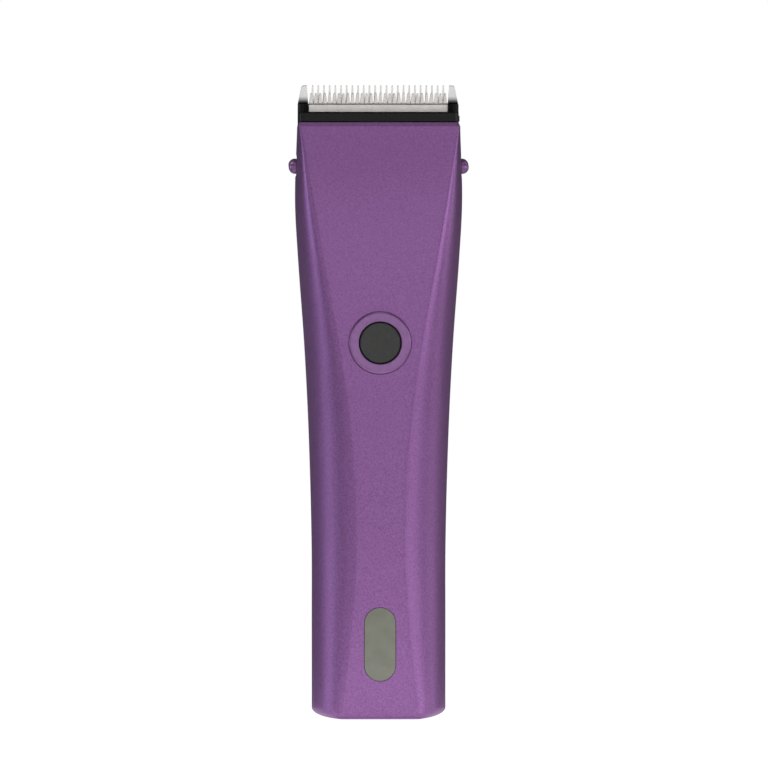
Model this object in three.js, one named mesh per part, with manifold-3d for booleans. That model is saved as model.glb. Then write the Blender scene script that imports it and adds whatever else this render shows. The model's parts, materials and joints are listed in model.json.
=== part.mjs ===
// Cordless electric pet clipper, standing on its tail with the blade at the top.
// Millimetres, +Z up, front face (button and charge window) toward -Y.
// The origin is the middle of the flat base.

import * as THREE from 'three';
import { mergeVertices } from 'three/addons/utils/BufferGeometryUtils.js';
import Module from 'manifold-3d';

const wasm = await Module();
wasm.setup();

// ---- Driving dimensions ----------------------------------------------------

const GAP = 0.3; // clearance between separate pieces
const WALL = 2.0; // casing wall
const PARTING_Y = 1.0; // plane between the casing halves
const FAR = 40; // beyond the casing in any direction
const [BELOW, ABOVE] = [-5, 172]; // under the tail and over the top edge

const CASING_TOP = 167.4;
const BEVEL_BOTTOM = 166.3; // start of the bevel round the top edge
const TOP_BEVEL = { width: 0.5, depth: 1.1 };
const TAIL_ROUND = { width: 8.3, depth: 1.6, height: 3.2 };
const BASE_PLATE_TOP = 1.1;
const PLUG_TOP = 3.6; // top of the base plate's plug inside the tail

// Casing stations: height, half width, half width of the front facet, front and back surface.
const STATIONS = [
  { z: 0, halfWidth: 18.8, facet: 10.8, front: -14.0, back: 14.5 },
  { z: 26, halfWidth: 18.8, facet: 7.9, front: -15.4, back: 16.6 },
  { z: 50, halfWidth: 18.85, facet: 6.65, front: -16.3, back: 17.8 },
  { z: 80, halfWidth: 19.65, facet: 8.15, front: -16.8, back: 18.8 },
  { z: 105, halfWidth: 20.9, facet: 11.5, front: -16.6, back: 18.9 },
  { z: 130, halfWidth: 22.7, facet: 16.0, front: -15.0, back: 17.0 },
  { z: 146, halfWidth: 23.5, facet: 18.8, front: -12.6, back: 13.6 },
  { z: 166.3, halfWidth: 22.9, facet: 22.1, front: -8.2, back: 9.6 },
];
const FACET_DOME = 0.3; // crown of the front facet
const CREASE_SLOPE = 0.45; // how steeply the side leaves the facet
const SIDE_WEIGHT = 0.75; // close to an ellipse
const BACK_WEIGHT = 1.15; // above 0.71 the back is squarer than an ellipse

const BLADE_TIP = { y: 6.9, z: 178 }; // comb tip on the skin side
const BLADE_LEAN = THREE.MathUtils.degToRad(12);

// In the blade frame, z runs up the blade from the comb tip and y points out of the skin face.
const COMB = { halfWidth: 22.6, length: 30, thickness: 1.6, pitch: 1.6, teeth: 24, toothLength: 6.2 };
const CUTTER = { halfWidth: 19.55, tip: -2.25, gullet: -5.5, end: -16, front: -3.3, pitch: 1.3, teeth: 30 };
const STROKE = 1.2; // cutter travel each way
const ADJUST = { back: 1.0, forward: 1.3 }; // cutter travel along the blade

const MOTOR = { y: 1.0, radius: 10.25, bottom: 112, top: 144, wall: 0.9, screwX: 6.2, terminalX: 5.4 };
const ROTOR = { radius: 6.8, bottom: 119, top: 137, bore: 1.3, slot: 0.9 };
const MAGNET = { inner: 7.2, outer: MOTOR.radius - 1.2, bottom: 118, top: 138 };
const SHAFT = { radius: 1.0, bottom: 113, top: 148.8 };
const BRACKET = { bottom: 144.4, top: 146.2 };
const PIN = { radius: 1.5, throw: STROKE, bottom: 150, top: 156 };
const DISC = { radius: 4.1, bottom: 147.6, cover: 0.9 };
const BATTERY = { y: 1.5, radius: 9.15, bottom: 14, length: 65 };
const BOARD = { front: -10.4, thickness: 1.2, halfWidth: 7.8, bottom: 11, top: 110 };

const BUTTON_Z = 105.5;
const BUTTON_RADIUS = 5.75;
const RING = { inner: 6.0, outer: 8.75 };
const WINDOW = { z: 21.05, halfWidth: 4.35, halfHeight: 10.25 };
const INLET = { y: 6.4, halfX: 4.5, halfY: 3.0, wall: 1.2, top: 9.5 };
const KNOB = { x: 23.5, radius: 1.81, halfLength: 3.6, z: 155.2, shank: 1.2, recessX: 21.4, padX: 19.5 };
const CASE_SCREWS = { x: 14.4, heights: [30, 96], seat: 6.3, length: 11 };
const FRONT_BOSS = { radius: 2.7, pilot: 1.35, pilotEnd: -6.5 };
const REAR_BOSS = { radius: 3.9, clearance: 1.9, headBore: 3.1, headSeat: 6 };

// ---- Materials ---------------------------------------------------------------

const LOOKS = {
  purple: [0x85588f, 0.4, 0.35],
  ring: [0x8a5f96, 0.4, 0.1],
  blackGloss: [0x151515, 0.2, 0.0],
  blackMatte: [0x242424, 0.6, 0.0],
  window: [0x82826f, 0.3, 0.0],
  clear: [0xd8dcd8, 0.2, 0.0],
  steel: [0xd8d6d2, 0.22, 1.0],
  cutterSteel: [0xc8c4be, 0.32, 1.0],
  zinc: [0x9c9ea2, 0.4, 1.0],
  magnet: [0x4a4a4e, 0.6, 0.4],
  copper: [0xb06a3a, 0.35, 1.0],
  brass: [0xc9a85a, 0.35, 1.0],
  board: [0x1f5a33, 0.5, 0.0],
  cell: [0x3a6ea5, 0.35, 0.0],
  foam: [0x3a3a3c, 0.95, 0.0],
  nylon: [0xe6e2d6, 0.5, 0.0],
  redWire: [0xa02020, 0.5, 0.0],
  blackWire: [0x1a1a1a, 0.5, 0.0],
};

function material(look) {
  const [color, roughness, metalness] = LOOKS[look];
  return new THREE.MeshStandardMaterial({ color, roughness, metalness });
}

function piece(name, geometry, look) {
  const mesh = new THREE.Mesh(geometry, material(look));
  mesh.name = name;
  return mesh;
}

// ---- Boolean helpers ---------------------------------------------------------

function solidOf(geometry) {
  const bare = new THREE.BufferGeometry();
  bare.setAttribute('position', geometry.getAttribute('position'));
  bare.setIndex(geometry.getIndex());
  const merged = mergeVertices(bare, 1e-4);
  return new wasm.Manifold(new wasm.Mesh({
    numProp: 3,
    vertProperties: new Float32Array(merged.getAttribute('position').array),
    triVerts: new Uint32Array(merged.getIndex().array),
  }));
}

function geometryOf(solid) {
  const { vertProperties, triVerts } = solid.getMesh();
  const geometry = new THREE.BufferGeometry();
  geometry.setAttribute('position', new THREE.BufferAttribute(vertProperties, 3));
  geometry.setIndex(new THREE.BufferAttribute(triVerts, 1));
  return geometry;
}

function combine(first, others, operation) {
  const result = others.reduce((solid, other) => solid[operation](solidOf(other)), solidOf(first));
  return geometryOf(result);
}

const join = (first, ...others) => combine(first, others, 'add');
const cut = (first, ...others) => combine(first, others, 'subtract');
const common = (first, ...others) => combine(first, others, 'intersect');

// ---- Shape helpers -----------------------------------------------------------

function box(x0, x1, y0, y1, z0, z1) {
  const geometry = new THREE.BoxGeometry(x1 - x0, y1 - y0, z1 - z0);
  return geometry.translate((x0 + x1) / 2, (y0 + y1) / 2, (z0 + z1) / 2);
}

// A box across the middle, from -halfX to +halfX.
const wideBox = (halfX, y0, y1, z0, z1) => box(-halfX, halfX, y0, y1, z0, z1);

function extruded(outline, depth, xAxis, yAxis, zAxis) {
  const shape = new THREE.Shape(outline.map(([a, b]) => new THREE.Vector2(a, b)));
  const geometry = new THREE.ExtrudeGeometry(shape, { depth, bevelEnabled: false });
  const basis = new THREE.Matrix4().makeBasis(xAxis, yAxis, zAxis);
  return geometry.applyMatrix4(basis);
}

const X = new THREE.Vector3(1, 0, 0);
const Y = new THREE.Vector3(0, 1, 0);
const Z = new THREE.Vector3(0, 0, 1);

// An outline of [y, z] points, extruded along X.
const sideProfile = (outline, x0, x1) => extruded(outline, x1 - x0, Y, Z, X).translate(x0, 0, 0);

// An outline of [x, z] points, extruded from y1 toward the front, down to y0.
function frontProfile(outline, y0, y1) {
  return extruded(outline, y1 - y0, X, Z, Y.clone().negate()).translate(0, y1, 0);
}

// A closed or axis-to-axis profile of [radius, height], turned about an axis through [a, b].
function turned(profile, axis, [a, b], segments = 32) {
  const points = profile.map(([radius, height]) => new THREE.Vector2(radius, height));
  const geometry = new THREE.LatheGeometry(points, segments);
  if (axis === 'z') return geometry.rotateX(Math.PI / 2).translate(a, b, 0);
  return geometry.translate(a, 0, b);
}

const rod = (radius, low, high, axis, place, segments = 24) =>
  turned([[0, low], [radius, low], [radius, high], [0, high]], axis, place, segments);

const sleeve = (inner, outer, low, high, axis, place, segments = 32) =>
  turned([[inner, low], [outer, low], [outer, high], [inner, high], [inner, low]], axis, place, segments);

// A capsule outline in [x, z]: two half circles joined by straight sides.
function capsuleOutline(halfWidth, halfHeight, centreZ, steps = 10) {
  const straight = halfHeight - halfWidth;
  const arc = (start, lift) => Array.from({ length: steps + 1 }, (_, i) => {
    const angle = start + (Math.PI * i) / steps;
    return [halfWidth * Math.cos(angle), centreZ + lift + halfWidth * Math.sin(angle)];
  });
  return [...arc(0, straight), ...arc(Math.PI, -straight)];
}

// ---- Casing surface ----------------------------------------------------------

// Smooth curve through the stations, with slopes taken from the neighbours.
function station(key, z) {
  const last = STATIONS.length - 1;
  const below = STATIONS.filter((s) => s.z < z).length;
  const index = Math.min(Math.max(below, 1), last);
  const slope = (i) => {
    const before = STATIONS[Math.max(i - 1, 0)];
    const after = STATIONS[Math.min(i + 1, last)];
    return (after[key] - before[key]) / (after.z - before.z);
  };
  const low = STATIONS[index - 1];
  const high = STATIONS[index];
  const span = high.z - low.z;
  const t = Math.min(Math.max((z - low.z) / span, 0), 1);
  return low[key] * (1 + 2 * t) * (1 - t) ** 2 + high[key] * t * t * (3 - 2 * t)
    + span * (slope(index - 1) * t * (1 - t) ** 2 - slope(index) * t * t * (1 - t));
}

// Half widths and depths at a height, with the round tail edge and the bevelled top edge.
function casingSizes(z) {
  const below = Math.min(Math.max(1 - z / TAIL_ROUND.height, 0), 1);
  const tail = 1 - Math.sqrt(1 - below * below);
  const bevel = Math.max((z - BEVEL_BOTTOM) / (CASING_TOP - BEVEL_BOTTOM), 0);
  const halfWidth = station('halfWidth', z) - TAIL_ROUND.width * tail - TOP_BEVEL.width * bevel;
  return {
    halfWidth,
    facet: Math.min(station('facet', z), halfWidth - 0.5),
    front: station('front', z) + TAIL_ROUND.depth * tail + TOP_BEVEL.depth * bevel,
    back: station('back', z) - TAIL_ROUND.depth * tail,
  };
}

// Points of a rational quadratic curve; the first point is left out.
function conic(start, corner, end, weight, steps) {
  return Array.from({ length: steps }, (_, i) => {
    const t = (i + 1) / steps;
    const [a, b, c] = [(1 - t) ** 2, 2 * weight * t * (1 - t), t * t];
    const at = (k) => (a * start[k] + b * corner[k] + c * end[k]) / (a + b + c);
    return [at(0), at(1)];
  });
}

// The casing's outline at a height, as a closed ring of [x, y], moved inward by inset.
function casingRing(z, inset) {
  const { halfWidth, facet, front, back } = casingSizes(z);
  const side = [halfWidth, front + (halfWidth - facet) * CREASE_SLOPE];
  const half = [
    [0, front - FACET_DOME],
    [facet * 0.55, front - FACET_DOME * 0.7],
    [facet, front],
    ...conic([facet, front], side, [halfWidth, PARTING_Y], SIDE_WEIGHT, 6),
    ...conic([halfWidth, PARTING_Y], [halfWidth, back], [0, back], BACK_WEIGHT, 9),
  ];
  const mirrored = half.slice(1, -1).reverse().map(([x, y]) => [-x, y]);
  const ring = [...half, ...mirrored];
  if (inset === 0) return ring;
  return ring.map(([x, y], i) => {
    const before = ring[(i + ring.length - 1) % ring.length];
    const after = ring[(i + 1) % ring.length];
    const tangent = new THREE.Vector2(after[0] - before[0], after[1] - before[1]).normalize();
    return [x - inset * tangent.y, y + inset * tangent.x];
  });
}

// A solid through rings of equal length: walls between them and a fan over each end.
function loft(rings) {
  const count = rings[0].ring.length;
  const positions = rings.flatMap(({ ring, z }) => ring.flatMap(([x, y]) => [x, y, z]));
  const index = [];
  rings.slice(1).forEach((_, level) => {
    for (let i = 0; i < count; i += 1) {
      const a = level * count + i;
      const b = level * count + ((i + 1) % count);
      index.push(a, b, b + count, a, b + count, a + count);
    }
  });
  const last = (rings.length - 1) * count;
  positions.push(0, PARTING_Y, rings[0].z, 0, PARTING_Y, rings[rings.length - 1].z);
  const [lowCentre, highCentre] = [rings.length * count, rings.length * count + 1];
  for (let i = 0; i < count; i += 1) {
    const next = (i + 1) % count;
    index.push(lowCentre, next, i, highCentre, last + i, last + next);
  }
  const geometry = new THREE.BufferGeometry();
  geometry.setAttribute('position', new THREE.Float32BufferAttribute(positions, 3));
  geometry.setIndex(index);
  return geometry;
}

const MAIN_HEIGHTS = [3.2, 12, 26, 38, 50, 65, 80, 92, 105, 118, 130, 138, 146, 156, 166.3];

function outerCasing() {
  const heights = [0, 0.2, 0.5, 1.1, 1.9, ...MAIN_HEIGHTS, CASING_TOP];
  return loft(heights.map((z) => ({ ring: casingRing(z, 0), z })));
}

// The space inside the casing, a given distance in from its outside.
function cavity(inset, low, high) {
  const middle = MAIN_HEIGHTS.filter((z) => z > low + 1 && z < high - 1);
  const heights = [low, ...middle, high];
  const ringAt = (z) => casingRing(Math.min(Math.max(z, TAIL_ROUND.height), BEVEL_BOTTOM), inset);
  return loft(heights.map((z) => ({ ring: ringAt(z), z })));
}

// ---- Blade frame -------------------------------------------------------------

const bladeMatrix = new THREE.Matrix4()
  .makeRotationX(BLADE_LEAN)
  .setPosition(0, BLADE_TIP.y, BLADE_TIP.z);

const inCasing = (bladeShape) => bladeShape.applyMatrix4(bladeMatrix);

// [y, z] of the casing as [y, z] of the blade frame.
function toBlade([y, z]) {
  const point = new THREE.Vector3(0, y, z).applyMatrix4(bladeMatrix.clone().invert());
  return [point.y, point.z];
}

// [y, z] of the blade frame as [y, z] of the casing.
function fromBlade([y, z]) {
  const point = new THREE.Vector3(0, y, z).applyMatrix4(bladeMatrix);
  return [point.y, point.z];
}

const SEAT_Y = -5.9; // casing edge under the blade set
const SEAT_END_Z = -30.6; // ledge under the comb's lower end
const FRAME_OUTER_Y = -7.4; // outer face of the head frame's sloping wall
const FRAME_INNER_Y = -9.4;
const [KNOB_Y, KNOB_BLADE_Z] = toBlade([PARTING_Y, KNOB.z]);
const HOOK = { x0: 8.8, x1: 12.2, y0: -3.1, y1: -2.1, z: -31.6 };

const headPocket = () => inCasing(wideBox(FAR, SEAT_Y, 30, SEAT_END_Z, 30));

const bothSides = (x0, x1, y0, y1, z0, z1) => [
  box(-x1, -x0, y0, y1, z0, z1),
  box(x0, x1, y0, y1, z0, z1),
];

const hookSlots = () => bothSides(HOOK.x0 - GAP, HOOK.x1 + GAP, -5.2, -1.7, -34, -29).map(inCasing);

// Boxes on both sides round the knob's path, a given margin larger than a half size of [y, z].
const aroundKnob = (x0, x1, halfY, halfZ) => bothSides(
  x0,
  x1,
  KNOB_Y - halfY,
  KNOB_Y + halfY,
  KNOB_BLADE_Z - halfZ - ADJUST.back,
  KNOB_BLADE_Z + halfZ + ADJUST.forward,
).map(inCasing);

const knobSlots = () => [
  ...aroundKnob(10, FAR, KNOB.shank + GAP, KNOB.shank + GAP),
  ...aroundKnob(KNOB.recessX, FAR, KNOB.halfLength + GAP, KNOB.radius + GAP),
];

// Thicker wall round each knob slot, so that the finger bar sits in a recess.
const PAD_RIM = 1.8; // width of the pad round the recess
const knobPads = () => aroundKnob(KNOB.padX, 23, KNOB.halfLength + PAD_RIM, KNOB.radius + PAD_RIM);

// ---- Casing pieces -----------------------------------------------------------

const windowPrism = (grow, y0, y1) => frontProfile(
  capsuleOutline(WINDOW.halfWidth + grow, WINDOW.halfHeight + grow, WINDOW.z),
  y0,
  y1,
);

const caseScrewPlaces = () => CASE_SCREWS.heights.flatMap((z) =>
  [-1, 1].map((side) => [side * CASE_SCREWS.x, z]));

function casingHalf(low, high, extras, cutters) {
  const hollow = cavity(WALL, BELOW, ABOVE);
  const walls = cut(outerCasing(), hollow, wideBox(FAR, -FAR, FAR, BELOW, BASE_PLATE_TOP + GAP));
  const side = wideBox(FAR, low, high, BELOW, ABOVE);
  const half = common(join(walls, ...knobPads(), ...extras), outerCasing(), side);
  return cut(half, headPocket(), ...knobSlots(), ...cutters);
}

function frontShell() {
  const { radius, pilot, pilotEnd } = FRONT_BOSS;
  const seam = PARTING_Y - GAP / 2;
  const bosses = caseScrewPlaces().map((place) => rod(radius, -15.5, seam, 'y', place, 12));
  const bores = caseScrewPlaces().map((place) => rod(pilot, pilotEnd, 4, 'y', place, 12));
  const fit = 0.2; // round the window and the ring
  return casingHalf(-FAR, seam, bosses, [
    ...bores,
    windowPrism(fit, -25, -5),
    rod(RING.outer + fit, -25, -12, 'y', [0, BUTTON_Z], 32),
  ]);
}

function rearShell() {
  const { radius, clearance, headBore, headSeat } = REAR_BOSS;
  const seam = PARTING_Y + GAP / 2;
  const bosses = caseScrewPlaces().map((place) => rod(radius, seam, 17, 'y', place, 16));
  const bores = caseScrewPlaces().flatMap((place) => [
    rod(clearance, -5, 30, 'y', place, 12),
    rod(headBore, headSeat, 30, 'y', place, 16),
  ]);
  return casingHalf(seam, FAR, bosses, [...bores, ...hookSlots()]);
}

// Domed end plate with a plug that fits inside the tail and an opening for the charging inlet.
function basePlate() {
  const rim = common(outerCasing(), wideBox(FAR, -FAR, FAR, BELOW, BASE_PLATE_TOP));
  const plug = cavity(WALL + GAP, BASE_PLATE_TOP - 0.2, PLUG_TOP);
  const grow = INLET.wall + GAP;
  const opening = box(
    -INLET.halfX - grow, INLET.halfX + grow,
    INLET.y - INLET.halfY - grow, INLET.y + INLET.halfY + grow, -5, 20,
  );
  return cut(join(rim, plug), opening);
}

function chargeWindow() {
  const skin = cut(outerCasing(), cavity(WALL - 0.1, BELOW, ABOVE));
  return common(skin, windowPrism(0, -25, -5));
}

// Raised ring round the button, with a flange behind the casing wall.
function buttonRing() {
  const crown = -17.7;
  return turned([
    [RING.inner, -13.8],
    [RING.outer + 1.2, -13.8],
    [RING.outer + 1.2, -14.3],
    [RING.outer, -14.3],
    [RING.outer, crown + 0.8],
    [RING.outer - 0.25, crown + 0.25],
    [RING.outer - 0.8, crown],
    [RING.inner + 0.3, crown],
    [RING.inner, crown + 0.3],
    [RING.inner, -13.8],
  ].reverse(), 'y', [0, BUTTON_Z], 32);
}

// Z-shaped head frame: top plate, sloping wall behind the blade set, and the ledge it hooks on.
function headFrame() {
  const outline = [
    [-14, 164.4],
    [0.2, 164.4],
    fromBlade([FRAME_INNER_Y, -32.4]),
    fromBlade([0, -32.4]),
    fromBlade([0, -31.1]),
    fromBlade([FRAME_OUTER_Y, -31.1]),
    [1.85, 166.2],
    [-14, 166.2],
  ];
  const plate = common(sideProfile(outline, -30, 30), cavity(WALL + GAP, 130, ABOVE));
  const window = inCasing(wideBox(16.5, -12, -5, -26.4, -12));
  const latchSlot = wideBox(5.6, -5.9, -1.2, 160, 170);
  const room = PAD_RIM + GAP;
  const padRoom = aroundKnob(KNOB.padX - GAP, 30, KNOB.halfLength + room, KNOB.radius + room);
  const discRoom = rod(DISC.radius + 0.5, 146, 152, 'z', [0, MOTOR.y]);
  return cut(plate, window, latchSlot, discRoom, ...padRoom, ...hookSlots());
}

// Foam frame that keeps hair out of the head.
function hairSeal() {
  return cut(
    wideBox(18.8, -7.1, -6.2, -28.4, -10.2),
    wideBox(16.8, -9, -5, -26.8, -11.3),
  );
}

// Skeleton that holds the cell and the circuit board: two rails and four ribs.
function chassis() {
  const rails = bothSides(9.9, 11.3, -8.6, -2, 12, 110.6);
  const ribs = [16, 46, 76].map((z) => wideBox(30, -12, 16, z, z + 2.2));
  const motorRib = wideBox(30, -8.6, 16, 108.4, 110.6);
  const inside = cavity(WALL + GAP, 6, 120);
  const body = common(join(ribs[0], ribs[1], ribs[2], motorRib), inside);
  return cut(
    join(body, ...rails),
    rod(BATTERY.radius + GAP, -5, 95, 'z', [0, BATTERY.y]),
    rod(8.6, 100, 115, 'z', [0, MOTOR.y]),
    wideBox(BOARD.halfWidth + GAP, -30, BOARD.front + BOARD.thickness + GAP, 0, 120),
  );
}

// ---- Power train -------------------------------------------------------------

function motorCan() {
  const { radius, bottom, top, wall, y } = MOTOR;
  const bushHole = 2.6;
  return turned([
    [bushHole, top - 1],
    [radius - wall, top - 1],
    [radius - wall, bottom],
    [radius, bottom],
    [radius, top],
    [bushHole, top],
    [bushHole, top - 1],
  ], 'z', [0, y]);
}

function motorEndCap() {
  const cap = sleeve(1.6, MAGNET.outer, MOTOR.bottom, MOTOR.bottom + 2.2, 'z', [0, MOTOR.y]);
  const slots = [-1, 1].map((side) =>
    wideBox(1.6, -5.3, 1.6, 110, 120).translate(side * MOTOR.terminalX, 0, 0));
  return cut(cap, ...slots);
}

// One of the two arc magnets: a sleeve without its other half.
function magnet(side) {
  const { inner, outer, bottom, top } = MAGNET;
  const [low, high] = side < 0 ? [-2.4, FAR] : [-FAR, 2.4];
  return cut(sleeve(inner, outer, bottom, top, 'z', [0, MOTOR.y], 24), box(low, high, -FAR, FAR, 100, 150));
}

function armature() {
  const { radius, bottom, top, bore, slot } = ROTOR;
  const slots = [0, 1, 2].map((i) =>
    box(4.6, 12, -slot, slot, bottom - 1, top + 1).rotateZ((i * Math.PI * 2) / 3));
  return cut(sleeve(bore, radius, bottom, top, 'z', [0, 0], 24), ...slots).translate(0, MOTOR.y, 0);
}

function motorBracket() {
  const plate = common(wideBox(30, -20, 14, BRACKET.bottom, BRACKET.top), cavity(WALL + GAP, 120, 160));
  const screwHoles = [-1, 1].map((side) => rod(1.2, 140, 150, 'z', [side * MOTOR.screwX, MOTOR.y], 12));
  const seat = inCasing(wideBox(FAR, FRAME_INNER_Y - GAP, 30, -50, 10));
  return cut(plate, rod(3.4, 140, 150, 'z', [0, MOTOR.y]), seat, ...screwHoles);
}

// A pan head on a shank that goes down from the head.
function screw(headRadius, shankRadius, headHeight, length) {
  return turned([
    [0, -length], [shankRadius, -length], [shankRadius, 0],
    [headRadius, 0], [headRadius, headHeight * 0.6], [headRadius * 0.8, headHeight], [0, headHeight],
  ], 'z', [0, 0], 14);
}

function crossRecess(geometry, headHeight, size) {
  const depth = headHeight - 0.5;
  const slot = box(-size, size, -0.3, 0.3, depth, headHeight + 1);
  return cut(geometry, slot, slot.clone().rotateZ(Math.PI / 2));
}

// Disc on the shaft with an off-centre pin that drives the cutter's yoke.
function eccentric() {
  const disc = sleeve(ROTOR.bore, DISC.radius, DISC.bottom, PIN.bottom, 'z', [0, MOTOR.y], 24);
  const cover = rod(DISC.radius, PIN.bottom - DISC.cover, PIN.bottom, 'z', [0, MOTOR.y], 24);
  return join(disc, cover, rod(PIN.radius, PIN.bottom - 0.4, PIN.top, 'z', [PIN.throw, MOTOR.y], 16));
}

// From the back of the circuit board up to the right motor terminal; the left lead mirrors it.
const LEAD_ROUTE = [[4.6, -8.3, 104], [5.8, -6.2, 105.5], [6.0, -4.4, 107.5], [5.4, -4.1, 110.9]];

function wire(points) {
  const path = new THREE.CatmullRomCurve3(points.map((p) => new THREE.Vector3(...p)));
  const section = new THREE.Shape();
  section.absarc(0, 0, 0.55, 0, Math.PI * 2, false);
  return new THREE.ExtrudeGeometry(section, { steps: 14, extrudePath: path, curveSegments: 4 });
}

// ---- Switch ------------------------------------------------------------------

function powerButton() {
  const face = -17.3;
  return turned([
    [0, -12.9], [6.9, -12.9], [6.9, -13.5], [BUTTON_RADIUS, -13.5],
    [BUTTON_RADIUS, face + 0.4], [BUTTON_RADIUS - 0.4, face], [0, face + 0.25],
  ].reverse(), 'y', [0, BUTTON_Z], 36);
}

function tactSwitch() {
  const body = wideBox(3, -12, BOARD.front - GAP, BUTTON_Z - 3, BUTTON_Z + 3);
  return cut(body, rod(1.8, -14, -9, 'y', [0, BUTTON_Z], 16));
}

// ---- Blade set ---------------------------------------------------------------

// Points of a row of straight tapering teeth in [x, z], from the right end to the left.
function toothRow({ teeth, pitch }, tip, gullet, tipHalf, rootHalf) {
  return Array.from({ length: teeth }, (_, i) => {
    const centre = ((teeth - 1) / 2 - i) * pitch;
    return [
      [centre + rootHalf, gullet],
      [centre + tipHalf, tip],
      [centre - tipHalf, tip],
      [centre - rootHalf, gullet],
    ];
  }).flat();
}

// Wedge that thins the teeth toward their tips, on the side away from the skin.
const toothBevel = (thick, thin, from, to) => sideProfile([
  [-thick, from],
  [-thin, to + 0.5],
  [-thick - 3, to + 0.5],
  [-thick - 3, from],
], -40, 40);

const COMB_SCREWS = { x: 13, z: -27.4, head: 2.1, shank: 0.7, headHole: 2.5, shankHole: 1.4 };

function combBlade() {
  const end = [[COMB.halfWidth, -5.3], [21.6, -0.6], [21.2, 0], [19.95, 0], [19.6, -COMB.toothLength]];
  const outline = [
    [-COMB.halfWidth, -COMB.length],
    [COMB.halfWidth, -COMB.length],
    ...end,
    ...toothRow(COMB, 0, -COMB.toothLength, 0.18, 0.42),
    ...end.reverse().map(([x, z]) => [-x, z]),
  ];
  const plate = frontProfile(outline, -COMB.thickness, 0);
  const { headHole, shankHole } = COMB_SCREWS;
  const holes = [-1, 1].map((side) => turned([
    [0, -4],
    [shankHole, -4],
    [shankHole, shankHole - headHole],
    [headHole, 0],
    [headHole, 2],
    [0, 2],
  ], 'y', [side * COMB_SCREWS.x, COMB_SCREWS.z], 16));
  return cut(plate, toothBevel(COMB.thickness, 0.7, -9, 0), ...holes);
}

function cutterBlade() {
  const { halfWidth, end, gullet, tip, front } = CUTTER;
  const outline = [[-halfWidth, end], [halfWidth, end], [halfWidth, gullet],
    ...toothRow(CUTTER, tip, gullet, 0.2, 0.42), [-halfWidth, gullet]];
  const back = -COMB.thickness - GAP;
  const plate = frontProfile(outline, front, back);
  return cut(plate, toothBevel(-front, -back + 0.6, gullet - 0.6, tip));
}

// Black holder: side rails, lower bar, hooks, and the bar in front of the cutter.
function bladeCarrier() {
  const backY = -COMB.thickness - GAP;
  const rails = wideBox(COMB.halfWidth, -5.6, backY, -COMB.length, -5.6);
  const opening = wideBox(16.9, -9, 2, -25.6, 20);
  const channel = wideBox(21.1, -3.7, 2, -18.2, 20);
  const lipRoom = wideBox(19.6, -9, 2, -11, 20);
  const top = [[-6.6, 167.7], [6, 167.7], [6, 170.1], [-1.2, 170.1], [-6.0, 169.3], [-6.6, 168.9]];
  const bar = sideProfile(top, -COMB.halfWidth, COMB.halfWidth).applyMatrix4(bladeMatrix.clone().invert());
  const cornerCut = [-1, 1].map((side) => box(-1.2, 1.2, -1.2, 1.2, 160, 175)
    .rotateZ(Math.PI / 4)
    .translate(side * COMB.halfWidth, -6.9, 0)
    .applyMatrix4(bladeMatrix.clone().invert()));
  const behindBar = wideBox(FAR, -3.7, 20, -FAR, 20);
  const hooks = bothSides(HOOK.x0, HOOK.x1, HOOK.y0, HOOK.y1, HOOK.z, -29);
  const latchRib = wideBox(5, -4.6, -3.1, 164.9, 168).applyMatrix4(bladeMatrix.clone().invert());
  const pilotHoles = [-1, 1].map((side) => rod(1.0, -5, 2, 'y', [side * COMB_SCREWS.x, COMB_SCREWS.z], 12));
  const frame = cut(rails, opening, channel, lipRoom);
  return cut(join(frame, cut(bar, behindBar, ...cornerCut), latchRib, ...hooks), ...pilotHoles);
}

// Sliding plate that carries the cutter along the blade; its side notches take the bail's arms.
function cutterSlider() {
  const plate = wideBox(16.4, -5.2, -3.6, -24.4, -13.5);
  const yokeRoom = wideBox(9.7, -9, 0, -22.4, -5);
  const notches = bothSides(13.9, 20, -9, 0, -23.7, -19.2);
  return cut(plate, yokeRoom, ...notches);
}

// Yoke on the cutter: a pad and two tines that straddle the eccentric pin.
function driveYoke() {
  const pad = wideBox(8.2, -4.8, -3.6, -15.5, -11.5);
  const tine = sideProfile([
    [-3.6, -11.5],
    [-4.8, -11.5],
    toBlade([-0.8, 157.2]),
    toBlade([-1.2, 151.8]),
    toBlade([3.2, 151.8]),
    [-3.6, -15.5],
  ], 4.1, 6.5);
  return join(pad, tine, tine.clone().translate(-10.6, 0, 0));
}

// U-shaped bail: a cross bar in front of the eccentric, and two arms back to the slider.
function adjusterBail() {
  const crossBar = wideBox(16, -16.2, -14.2, -22.7, -19.5);
  const arms = bothSides(14.2, 16, -16.2, -3.9, -22.7, -19.5);
  const ears = bothSides(15.5, 18.9, KNOB_Y - 1.6, FRAME_INNER_Y - 0.4, KNOB_BLADE_Z - 1.6, -19.5);
  return join(crossBar, ...arms, ...ears);
}

// Finger knob: a bar with ball ends on a round shank through the casing wall.
function adjusterKnob(side) {
  const { x, radius, halfLength } = KNOB;
  const straight = halfLength - radius;
  const steps = 6;
  const arc = (start, lift) => Array.from({ length: steps + 1 }, (_, i) => {
    const angle = start + (Math.PI / 2) * (i / steps);
    return [Math.max(radius * Math.cos(angle), 0), lift + radius * Math.sin(angle)];
  });
  const profile = [...arc(-Math.PI / 2, -straight), ...arc(0, straight)];
  const bar = turned(profile, 'y', [side * x, 0], 16);
  const inner = 19.2;
  const shank = new THREE.CylinderGeometry(KNOB.shank, KNOB.shank, x - inner, 14).rotateZ(Math.PI / 2);
  return join(bar, shank.translate((side * (x + inner)) / 2, 0, 0)).translate(0, KNOB_Y, KNOB_BLADE_Z);
}

// Leaf spring that presses the cutter on the comb: a bent strip in front of the slider.
const bladeSpring = (side) => sideProfile([
  [-5.5, -23.6], [-5.9, -23.6], [-5.9, -13.2], [-4.1, -11.2], [-3.7, -11.4], [-5.5, -13.4],
], side < 0 ? -12.9 : 10.3, side < 0 ? -10.3 : 12.9);

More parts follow.
